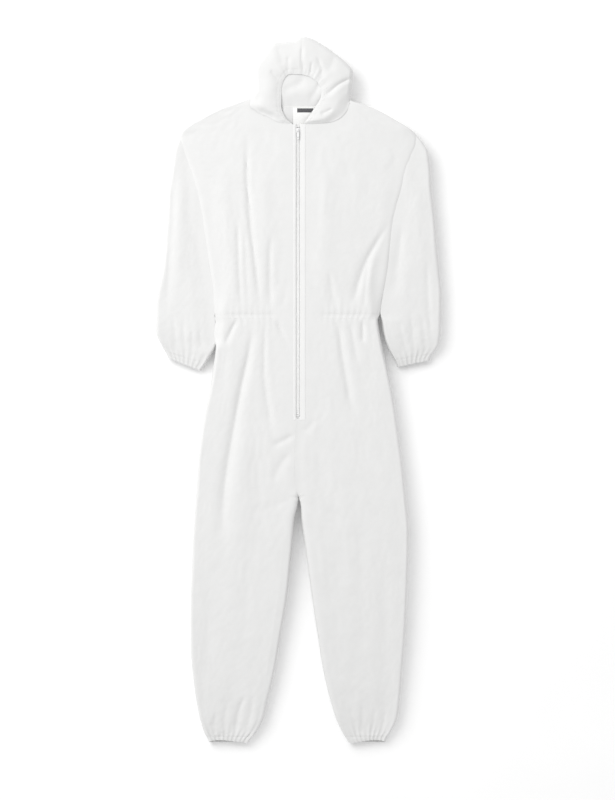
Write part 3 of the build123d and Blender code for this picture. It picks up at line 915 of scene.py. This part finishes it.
def hood_front():
    """Grid of the hood's front, from the face opening out, and its distance from there."""
    t = np.linspace(0, 1, HOOD_COLUMNS)
    inner, outer = curve_through(OPENING_CURVE, t), curve_through(HOOD_EDGE, t)
    s = np.linspace(0, 1, HOOD_ROWS)[:, None] ** 0.85
    reach = np.linalg.norm((outer - inner)[:, :2], axis=1)[None, :]
    grid = np.zeros((HOOD_ROWS, HOOD_COLUMNS, 3))
    for k in (0, 1):
        grid[:, :, k] = inner[None, :, k] * (1 - s) + outer[None, :, k] * s
    crown = inner[None, :, 2] - RIM_ROLL * (1 - smooth(s * reach, -1, 9)) + (HOOD_BULGE * reach + 1.5) * np.sin(pi * np.minimum(s * 1.1, 1))
    to_edge = (1 - s) * reach
    lobe = 1 - smooth(outer[None, :, 1], 692, 740)
    fall = round_edge(to_edge, np.minimum(reach * 0.5, 12.0), 2.2)
    fall = fall * (1 - lobe) + smooth(to_edge, -9, 34) * lobe
    grid[:, :, 2] = outer[None, :, 2] + (crown - outer[None, :, 2]) * fall
    return t, s, s * reach, grid


def hood_back(edge):
    """Grid that goes on from the front's outline, under it and down to the neck."""
    q = np.linspace(0, 1, HOOD_BACK_ROWS)[:, None]
    to_middle = np.array([12.0, 745.0]) - edge[:, :2]
    to_middle /= np.linalg.norm(to_middle, axis=1, keepdims=True)
    turn = 12.0
    tuck = edge[:, :2] + turn * to_middle
    end = np.stack([edge[:, 0] * 0.9, np.full(len(edge), NECK_SEAM)], 1)
    near, far = np.clip(q / 0.28, 0, 1), np.clip((q - 0.28) / 0.72, 0, 1)
    back = np.zeros((HOOD_BACK_ROWS, len(edge), 3))
    for k in (0, 1):
        back[:, :, k] = edge[None, :, k] * (1 - near) + tuck[None, :, k] * near
        back[:, :, k] = back[:, :, k] * (1 - far) + end[None, :, k] * far
    drop = round_edge(near * turn, turn, 2.0)
    back[:, :, 2] = edge[None, :, 2] * (1 - drop) + 2.6 * drop
    x, y = back[:, :, 0], back[:, :, 1]
    inwards = np.linalg.norm(end - tuck, axis=1)[None, :] * far
    low = NECK_TOP - 1.3 + 2 * smooth(-x, 14, 30)
    height = low + (CROWN_RISE - low) * smooth(y, 698, 742)
    folds = (1.0 * rough(x, y, 34, 61.0) + fold_height(x, y, HOOD_INNER_FOLDS)) * smooth(y, 704, 722)
    middle = 1 - smooth(np.abs(x - 11), 58, 106)
    back[:, :, 2] += middle * (height + folds) * smooth(inwards, 3, 40)
    return back


# folds of the back that show through the opening
HOOD_INNER_FOLDS = (
    (((56, 768), (44, 740), (24, 716)), -3.0, 6, 1.0),
    (((-40, 738), (-8, 752), (22, 770)), -4.0, 8, -1.0),
)


def build_hood():
    """Front of the hood in two halves, and the back that it goes on into."""
    t, s, from_rim, grid = hood_front()
    pattern = grid.copy()
    x, y = grid[:, :, 0], grid[:, :, 1]
    normals = grid_normals(grid)
    up = np.sign(normals[HOOD_ROWS // 3, HOOD_SEAM, 2])
    normals *= up
    round_share = t[None, :] * 430 + 0 * s
    amount = 0.25 + 0.75 * (smooth(t, 0.34, 0.42) * (1 - smooth(t, 0.62, 0.72)))[None, :]
    wave = gathers(s * 8, round_share, 21.0, 51.0)
    fine = gathers(s * 8, round_share, 9.0, 52.0)
    wave *= 0.35 + 0.8 * np.abs(rough(round_share, s * 3, 46, 55.0))
    fine *= 0.35 + 0.8 * np.abs(rough(round_share, s * 3, 24, 56.0))
    push = amount * 1.3 * wave * (1 - smooth(from_rim, 14, 56))
    push += (0.3 + 0.7 * amount) * 0.6 * fine * (1 - smooth(from_rim, 6, 24))
    push *= smooth(from_rim, 0, 4)
    push += groove(from_rim - CASING, 0.6, 1.8)
    inner_part = smooth(from_rim, 6, 20) * (1 - smooth(s, 0.85, 1))
    push += 1.6 * rough(x, y, 44, 53.0) * inner_part
    lobes = 1 - smooth(y, 690, 712)
    push += fold_height(x, y, HOOD_FOLDS) * smooth(from_rim, 0, 10) * (1 - smooth(s, 0.92, 1) * lobes)
    seam_x = x[:, HOOD_SEAM : HOOD_SEAM + 1]
    push += groove(np.where(y > 775, x - seam_x, 99), 0.5, 1.6) * smooth(from_rim, 0, 8)
    grid = grid + normals * push[:, :, None]
    over_chest = (y < 712) & (np.abs(x) < 150)
    grid[:, :, 2] = np.where(over_chest, np.maximum(grid[:, :, 2], TOP + 0.75), grid[:, :, 2])
    low, high = HOOD_BACK
    back = hood_back(grid[-1, low : high + 1])
    normals = grid_normals(grid) * up
    back_normals = grid_normals(back)
    back_normals *= -np.sign(back_normals[-4, back.shape[1] // 2, 2])
    halves = {"right": slice(0, HOOD_SEAM + 1), "left": slice(HOOD_SEAM, None)}
    for word, cols in halves.items():
        obj = shell(f"hood_front_{word}", grid[:, cols], normals[:, cols])
        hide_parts(f"hood_{word}")
        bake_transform(obj)
        cloth_sheet(pattern[:, cols])
    obj = shell("hood_back", back, back_normals)
    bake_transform(obj)
    cloth_sheet(back)
    inside = np.flatnonzero((from_rim.mean(1) > 3.5) & (from_rim.mean(1) < 10))
    rows = slice(inside[0], inside[-1] + 1)
    obj = band("elastic_face", grid, normals, rows, slice(0, None), 1.2, 0.9)
    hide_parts("hood_face_elastic")
    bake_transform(obj)
    row = int(np.abs(from_rim.mean(1) - CASING).argmin())
    obj = stitches("stitch_face", grid[row], normals[row], pitch=3.0)
    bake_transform(obj)


# ------------------------------------------------------------------ zip

TAPE_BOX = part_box("left_zip_tape")
TAPE_IN, TAPE_OUT = TAPE_BOX[0].x / MM, TAPE_BOX[1].x / MM
TAPE_LOW, TAPE_TOP = TAPE_BOX[0].z / MM, TAPE_BOX[1].z / MM
TAPE_FROM, TAPE_TO = TAPE_BOX[0].y / MM, TAPE_BOX[1].y / MM
COIL_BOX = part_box("left_zip_coil")
COIL_OUT = COIL_BOX[1].x / MM
COIL_FROM, COIL_TO = COIL_BOX[0].y / MM, COIL_BOX[1].y / MM
COIL_REACH = -0.5  # the heads of the loops reach past the centre line and interlock
COIL_PITCH = 1.5


def strip(name, section, y_from, y_to, thick, wave=0.0, side=1, step=6.0, seed=0.0):
    """Long strip beside the zip from a section of points (x, z), with a slight ripple."""
    ys = np.linspace(y_to, y_from, int((y_to - y_from) / step) + 1)
    section = np.array(section, float)
    grid = np.zeros((len(ys), len(section), 3))
    grid[:, :, 0] = section[None, :, 0] * side
    grid[:, :, 1] = ys[:, None]
    grid[:, :, 2] = section[None, :, 1] + wave * rough(grid[:, :, 0] * 2, grid[:, :, 1], 30, seed)
    normals = grid_normals(grid)
    middle = len(section) // 2
    normals *= np.sign(normals[len(ys) // 2, middle, 2])
    obj = shell(name, grid, normals, thick)
    return obj


def build_coil(side):
    """Moulded coil of one side of the zip: a row of loops round a cord, seen from above."""
    count = int((COIL_TO - COIL_FROM) / COIL_PITCH) - 1
    shift = 0.0 if side > 0 else 0.5
    centre_y = COIL_FROM + COIL_PITCH * (np.arange(count) + 0.3 + shift)
    thick = 0.48
    # one loop: (x, height above the tape, how thick)
    loop = (
        (COIL_OUT - 0.05, 0.35, 0.8),
        (COIL_OUT - 0.35, 1.25, 1.0),
        (COIL_OUT - 1.1, 1.55, 1.0),
        (COIL_REACH + 0.85, 1.5, 0.85),
        (COIL_REACH + 0.35, 1.2, 0.85),
        (COIL_REACH + 0.42, 0.65, 0.85),
        (COIL_REACH + 0.95, 0.4, 0.85),
    )
    corners = 6
    points = np.array([(x, h) for x, h, _ in loop])
    run = np.gradient(points, axis=0)
    run /= np.linalg.norm(run, axis=1, keepdims=True)
    rings = []
    for (x, h, size), (rx, rz) in zip(loop, run):
        for k in range(corners):
            turn = 2 * pi * k / corners
            r = thick * size
            rings.append((x - rz * r * cos(turn), r * sin(turn), TAPE_TOP + h + rx * r * cos(turn)))
    template = np.array(rings)
    verts, faces = [], []
    for i, y in enumerate(centre_y):
        moved = template.copy()
        moved[:, 0] *= side
        moved[:, 1] += y + 0.07 * (template[:, 0] - COIL_REACH)
        first = i * len(template)
        verts.append(moved)
        faces += grid_faces(len(loop), corners, first, closed=True)
        faces.append(tuple(first + k for k in range(corners)))
        last = first + (len(loop) - 1) * corners
        faces.append(tuple(last + k for k in reversed(range(corners))))
    # the cord that the loops are wound round
    ends = (COIL_FROM + 0.5, COIL_TO - 0.5)
    first = sum(len(v) for v in verts)
    around = [(k + 0.5) * 2 * pi / 10 for k in range(10)]
    cord = [(side * (1.75 + 1.15 * cos(a)), y, TAPE_TOP + 1.05 + 0.6 * sin(a)) for y in ends for a in around]
    verts.append(np.array(cord))
    faces += grid_faces(2, 10, first, closed=True)
    faces.append(tuple(first + k for k in range(10)))
    faces.append(tuple(first + 19 - k for k in range(10)))
    obj = mesh_object(f"coil_{'left' if side > 0 else 'right'}", np.concatenate(verts) * MM, faces)
    return obj


FACING_IN, FACING_OUT = 4.8, 19.0
FACING_RISE = 0.6  # top of the facing over the front


def build_zip(side):
    """Tape, coil, folded facing and stitching of one side of the front opening."""
    word = "left" if side > 0 else "right"
    mid = (TAPE_IN + TAPE_OUT) / 2
    tape_section = (
        (0.15, TAPE_TOP - 0.1),
        (COIL_OUT + 0.4, TAPE_TOP - 0.05),
        (COIL_OUT + 1.2, TAPE_TOP + 0.05),
        (mid, TAPE_TOP - 0.2),
        (TAPE_OUT - 1.2, TAPE_TOP - 0.2),
        (TAPE_OUT, TAPE_TOP - 0.1),
    )
    obj = strip(f"tape_{word}", tape_section, TAPE_FROM, TAPE_TO, 0.6, 0.1, side, 4.0, 71.0)
    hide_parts(f"{word}_zip_tape")
    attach(obj, "torso")
    obj = build_coil(side)
    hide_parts(f"{word}_zip_coil")
    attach(obj, "torso")
    out = FACING_OUT if side > 0 else FACING_OUT - 8
    facing_section = (
        (FACING_IN - 0.45, TAPE_TOP + 0.3),
        (FACING_IN - 0.4, TAPE_TOP + 0.7),
        (FACING_IN - 0.15, TOP - 0.6),
        (FACING_IN, TOP + FACING_RISE - 0.5),
        (FACING_IN + 0.5, TOP + FACING_RISE - 0.15),
        (FACING_IN + 1.6, TOP + FACING_RISE),
        ((FACING_IN + out) / 2, TOP + FACING_RISE + 0.05),
        (out - 2.6, TOP + FACING_RISE),
        (out - 1.6, TOP + FACING_RISE - 0.1),
        (out - 0.6, TOP + FACING_RISE - 0.25),
        (out, TOP - 0.1),
    )
    obj = strip(
        f"facing_{word}", facing_section, ZIP_BOTTOM - 8, ZIP_TOP + 4, 0.5, 0.18, side, 5.0, 72.0
    )
    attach(obj, "torso")
    ys = np.linspace(ZIP_TOP + 2, ZIP_BOTTOM - 6, 60)
    for row_name, x in (("inner", FACING_IN + 2.2), ("outer", out - 1.6)):
        z = TOP + FACING_RISE + 0.05
        line = np.stack([np.full(60, side * x), ys, np.full(60, z)], 1)
        obj = stitches(f"stitch_zip_{row_name}_{word}", line, np.tile((0.0, 0.0, 1.0), (60, 1)))
        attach(obj, "torso")


# ------------------------------------------------------------------ label

LABEL_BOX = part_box("neck_label")
LABEL_LIFT = 1.2
LABEL_DOWN = 4.0  # it slid down the bunched cloth


def build_label():
    """Neck label: a soft sheet with a plain printed band, stitched along its top."""
    x0, x1 = LABEL_BOX[0].x / MM, LABEL_BOX[1].x / MM
    y0, y1 = LABEL_BOX[0].y / MM, LABEL_BOX[1].y / MM
    columns, rows = 27, 25
    u, v = np.meshgrid(np.linspace(0, 1, columns), np.linspace(0, 1, rows))
    x = x0 + (x1 - x0) * u
    y = y1 + (y0 - y1) * v - LABEL_DOWN
    curl = 1.6 * (u - 0.5) ** 2 * 4 * v + 1.2 * np.sin(2.6 * u + 2.0 * v)
    z = FLOOR_GAP + neck_rise(x, y) + LABEL_LIFT + curl * smooth(v, 0, 0.6)
    grid = np.stack([x, y, z], 2)
    normals = grid_normals(grid)
    normals *= np.sign(normals[5, 5, 2])
    obj = shell("label", grid, normals, 0.35)
    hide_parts("neck_label")
    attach(obj, "torso")
    cloth_sheet(grid)
    rows_of_band, columns_of_band = slice(1, 7), slice(5, 26)
    printed = grid[rows_of_band, columns_of_band] + normals[rows_of_band, columns_of_band] * 0.12
    band_obj = shell("label_band", printed, normals[rows_of_band, columns_of_band], 0.08)
    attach(band_obj, "torso")
    line = grid[0] + (0, -0.8, 0.1)
    obj = stitches("stitch_label", line, normals[0], pitch=2.6, length=1.8)
    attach(obj, "torso")
    return band_obj


for side in (1, -1):
    build_body(side)
    build_sleeve(side)
    build_zip(side)
build_hood()
printed_band = build_label()
for node in ("zip_slider", "zip_pull_tab", "zip_top_stops", "zip_bottom_stop"):
    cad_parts[node].data.materials.clear()

# ------------------------------------------------------------------ camera, light, floor

SILHOUETTE_Z = 0.022  # height at which the suit's outline lies
look = Vector((0.0235, -0.021, SILHOUETTE_Z))
camera_data = bpy.data.cameras.new("camera")
camera = bpy.data.objects.new("camera", camera_data)
bpy.context.scene.collection.objects.link(camera)
CAMERA_HEIGHT = 6.0
camera_data.sensor_fit = "VERTICAL"
camera_data.sensor_height = 24.0
camera_data.lens = 24.0 / 2 / (0.99 / (CAMERA_HEIGHT - SILHOUETTE_Z))
camera.location = (look.x, look.y, CAMERA_HEIGHT)
camera.rotation_euler = (0, 0, 0)
bpy.context.scene.camera = camera

floor = mesh_object("floor", [(-6, -6, 0), (6, -6, 0), (6, 6, 0), (-6, 6, 0)], [(0, 1, 2, 3)], False)
floor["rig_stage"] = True


# ------------------------------------------------------------------ materials


class Finish:
    """Material whose colour and relief come from procedural textures in the piece's space."""

    def __init__(self, name, roughness, sheen=0.0, sheen_roughness=0.5, coat=0.0):
        self.material = bpy.data.materials.new(name)
        self.material.use_nodes = True
        self.nodes = self.material.node_tree.nodes
        self.links = self.material.node_tree.links
        self.shader = self.nodes["Principled BSDF"]
        self.shader.inputs["Roughness"].default_value = roughness
        self.shader.inputs["Sheen Weight"].default_value = sheen
        self.shader.inputs["Sheen Roughness"].default_value = sheen_roughness
        self.shader.inputs["Coat Weight"].default_value = coat
        self.place = self.nodes.new("ShaderNodeTexCoord").outputs["Object"]

    def stretched(self, scale):
        """The piece's coordinates, scaled differently along each axis."""
        mapping = self.nodes.new("ShaderNodeMapping")
        mapping.inputs["Scale"].default_value = scale
        self.links.new(self.place, mapping.inputs["Vector"])
        return mapping.outputs["Vector"]

    def noise(self, scale, detail=3.0, rough=0.55, kind="FBM", vector=None):
        """Noise with features about 1 / scale metres across."""
        node = self.nodes.new("ShaderNodeTexNoise")
        node.noise_type = kind
        node.inputs["Scale"].default_value = scale
        node.inputs["Detail"].default_value = detail
        node.inputs["Roughness"].default_value = rough
        self.links.new(vector or self.place, node.inputs["Vector"])
        return node.outputs["Fac"]

    def dots(self, scale):
        """Small round dimples, as of cloth that is bonded at points."""
        node = self.nodes.new("ShaderNodeTexVoronoi")
        node.inputs["Scale"].default_value = scale
        node.inputs["Randomness"].default_value = 0.25
        self.links.new(self.place, node.inputs["Vector"])
        return node.outputs["Distance"]

    def ribs(self, scale, axis, distortion=0.4):
        """Even ribs across an axis."""
        node = self.nodes.new("ShaderNodeTexWave")
        node.bands_direction = axis
        node.inputs["Scale"].default_value = scale
        node.inputs["Distortion"].default_value = distortion
        node.inputs["Detail"].default_value = 1.0
        self.links.new(self.place, node.inputs["Vector"])
        return node.outputs["Fac"]

    def colour(self, value, dark, light, low=0.3, high=0.7):
        """Base colour between two tones as value goes from low to high."""
        ramp = self.nodes.new("ShaderNodeValToRGB")
        ramp.color_ramp.elements[0].position = low
        ramp.color_ramp.elements[1].position = high
        ramp.color_ramp.elements[0].color = (*dark, 1)
        ramp.color_ramp.elements[1].color = (*light, 1)
        self.links.new(value, ramp.inputs["Fac"])
        self.links.new(ramp.outputs["Color"], self.shader.inputs["Base Color"])

    def relief(self, *layers):
        """Bumps on top of each other: (value, depth in metres, strength)."""
        normal = None
        for value, depth, strength in layers:
            bump = self.nodes.new("ShaderNodeBump")
            bump.inputs["Strength"].default_value = strength
            bump.inputs["Distance"].default_value = depth
            self.links.new(value, bump.inputs["Height"])
            if normal is not None:
                self.links.new(normal, bump.inputs["Normal"])
            normal = bump.outputs["Normal"]
        self.links.new(normal, self.shader.inputs["Normal"])


def nonwoven(name, dark, light):
    """Spunbonded cloth: blotchy fibres, bonded points, fine soft creases and a dull sheen."""
    finish = Finish(name, 0.72, sheen=0.12)
    finish.colour(finish.noise(26, 6, 0.62), dark, light)
    finish.relief(
        (finish.noise(11, 3, 0.5, "RIDGED_MULTIFRACTAL", finish.stretched((1.5, 0.6, 1))), 0.0014, 0.16),
        (finish.noise(90, 4, 0.6), 0.0004, 0.16),
        (finish.dots(640), 0.00012, 0.5),
        (finish.noise(1900, 2, 0.6, vector=finish.stretched((1.0, 0.35, 1))), 0.00008, 0.5),
    )
    return finish.material


def knitted_elastic():
    """Ribbed elastic."""
    finish = Finish("knitted_elastic", 0.8, sheen=0.3)
    finish.colour(finish.noise(400, 3), (0.66, 0.66, 0.65), (0.78, 0.78, 0.77))
    finish.relief((finish.ribs(260, "X"), 0.0004, 0.7), (finish.noise(1600, 2), 0.0001, 0.5))
    return finish.material


def woven_tape():
    """Herringbone tape of the zip."""
    finish = Finish("woven_tape", 0.65, sheen=0.2)
    finish.colour(finish.noise(500, 3), (0.89, 0.89, 0.885), (0.94, 0.94, 0.935))
    finish.relief((finish.ribs(420, "Y", 0.8), 0.0003, 0.7), (finish.ribs(300, "DIAGONAL"), 0.0002, 0.5))
    return finish.material


def moulded(name, dark, light, roughness, coat):
    """Moulded or enamelled part: faint mottle and fine grain."""
    finish = Finish(name, roughness, coat=coat)
    finish.colour(finish.noise(300, 4), dark, light)
    finish.relief((finish.noise(900, 3), 0.00006, 0.4), (finish.noise(120, 2), 0.0001, 0.2))
    return finish.material


def thread():
    """Twisted sewing thread."""
    finish = Finish("thread", 0.55, sheen=0.3)
    finish.colour(finish.noise(900, 2), (0.74, 0.74, 0.73), (0.86, 0.86, 0.85))
    finish.relief((finish.ribs(1400, "DIAGONAL"), 0.0001, 0.6))
    return finish.material


def satin_label(name, dark, light):
    """Smooth label tape."""
    finish = Finish(name, 0.45, sheen=0.2)
    finish.colour(finish.noise(350, 3), dark, light)
    finish.relief((finish.ribs(700, "X", 0.2), 0.00008, 0.5), (finish.noise(60, 3), 0.0006, 0.2))
    return finish.material


cloth = nonwoven("nonwoven", (0.755, 0.755, 0.75), (0.775, 0.775, 0.77))
facing_cloth = nonwoven("nonwoven_double", (0.80, 0.80, 0.795), (0.83, 0.83, 0.825))
finishes = {
    "elastic": knitted_elastic(),
    "binding": nonwoven("binding_cloth", (0.76, 0.76, 0.75), (0.82, 0.82, 0.81)),
    "tape": woven_tape(),
    "coil": moulded("coil_nylon", (0.92, 0.92, 0.915), (0.95, 0.95, 0.945), 0.45, 0.0),
    "zip": moulded("enamelled", (0.80, 0.80, 0.80), (0.85, 0.85, 0.85), 0.3, 0.35),
    "stitch": thread(),
    "label": satin_label("label_tape", (0.88, 0.88, 0.87), (0.94, 0.94, 0.93)),
    "facing": facing_cloth,
}
printed_band.data.materials.append(satin_label("label_print", (0.05, 0.05, 0.055), (0.09, 0.09, 0.095)))
for obj in [*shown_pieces(), *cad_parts.values()]:
    if obj.get("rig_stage") or (obj.type == "MESH" and len(obj.data.materials)):
        if obj.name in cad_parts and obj.hide_render:
            continue
        if obj.get("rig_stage") or obj == printed_band:
            continue
    if obj.name == printed_band.name:
        continue
    obj.data.materials.clear()
    obj.data.materials.append(finishes.get(obj.name.split("_")[0], cloth))

floor_finish = Finish("floor", 0.85)
floor_finish.colour(floor_finish.noise(3, 2), (0.95, 0.95, 0.95), (0.97, 0.97, 0.97))
floor_finish.shader.inputs["Emission Color"].default_value = (1, 1, 1, 1)
floor_finish.shader.inputs["Emission Strength"].default_value = 0.06
floor.data.materials.append(floor_finish.material)


def area_light(name, place, aim, size, power):
    """Square soft light."""
    data = bpy.data.lights.new(name, "AREA")
    data.shape = "SQUARE"
    data.size = size
    data.energy = power
    obj = bpy.data.objects.new(name, data)
    obj.location = place
    obj.rotation_euler = (Vector(aim) - Vector(place)).to_track_quat("-Z", "Y").to_euler()
    bpy.context.scene.collection.objects.link(obj)


area_light("key", (-2.3, 1.9, 3.05), (0.2, -0.9, 0), 3.0, 104)
world = bpy.data.worlds.new("world")
bpy.context.scene.world = world
world.use_nodes = True
world.node_tree.nodes["Background"].inputs[0].default_value = (1, 1, 1, 1)
world.node_tree.nodes["Background"].inputs[1].default_value = 0.75
bpy.context.scene.view_settings.view_transform = "Standard"
